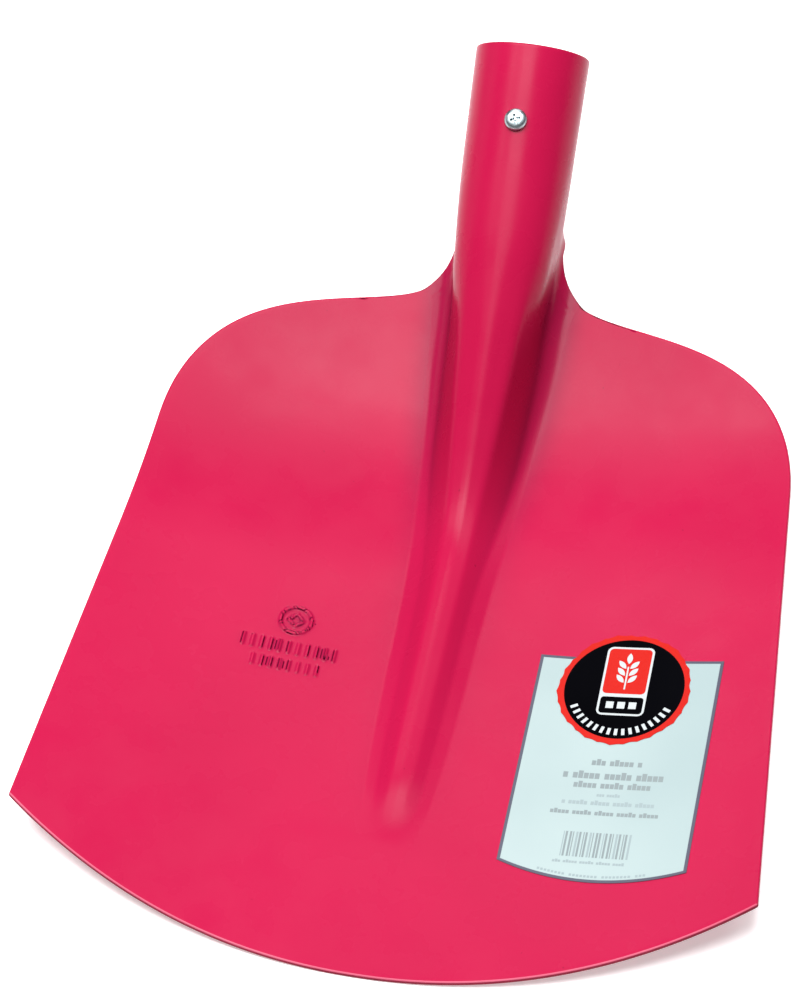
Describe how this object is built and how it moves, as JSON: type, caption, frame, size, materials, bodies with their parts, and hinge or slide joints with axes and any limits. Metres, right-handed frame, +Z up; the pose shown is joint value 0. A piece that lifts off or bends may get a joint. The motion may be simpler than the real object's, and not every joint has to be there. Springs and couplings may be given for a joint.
{
  "type": "grain scoop shovel head",
  "caption": "Round-shouldered pressed-steel scoop shovel head, dished, with a central rib running into a slanted rolled handle socket, a socket screw and two stickers.",
  "frame": {"origin": "centre of the bounding box's underside, where the blade lies on the floor", "axes": "+Y from the cutting edge towards the socket, +X to the right seen from the cutting edge, +Z up, out of the blade's hollow face"},
  "size_m": [0.2588, 0.3552, 0.1117],
  "materials": {
    "red_paint": "satin stoved enamel",
    "weld_paint": "painted weld bead",
    "zinc_plated_steel": "bright zinc",
    "label_paper": "printed sticker",
    "seal_print": "printed sticker"
  },
  "bodies": {
    "shovel": {"blade_and_socket": "red_paint", "socket_seam_weld": "weld_paint", "product_label": "label_paper", "quality_seal": "seal_print"},
    "screw": {"handle_screw": "zinc_plated_steel"}
  },
  "joints": [
    {"name": "screw_out", "type": "slide", "parent": "shovel", "child": "screw", "axis": [0, -0.5605, 0.8281], "range_m": [0, 0.024]}
  ]
}
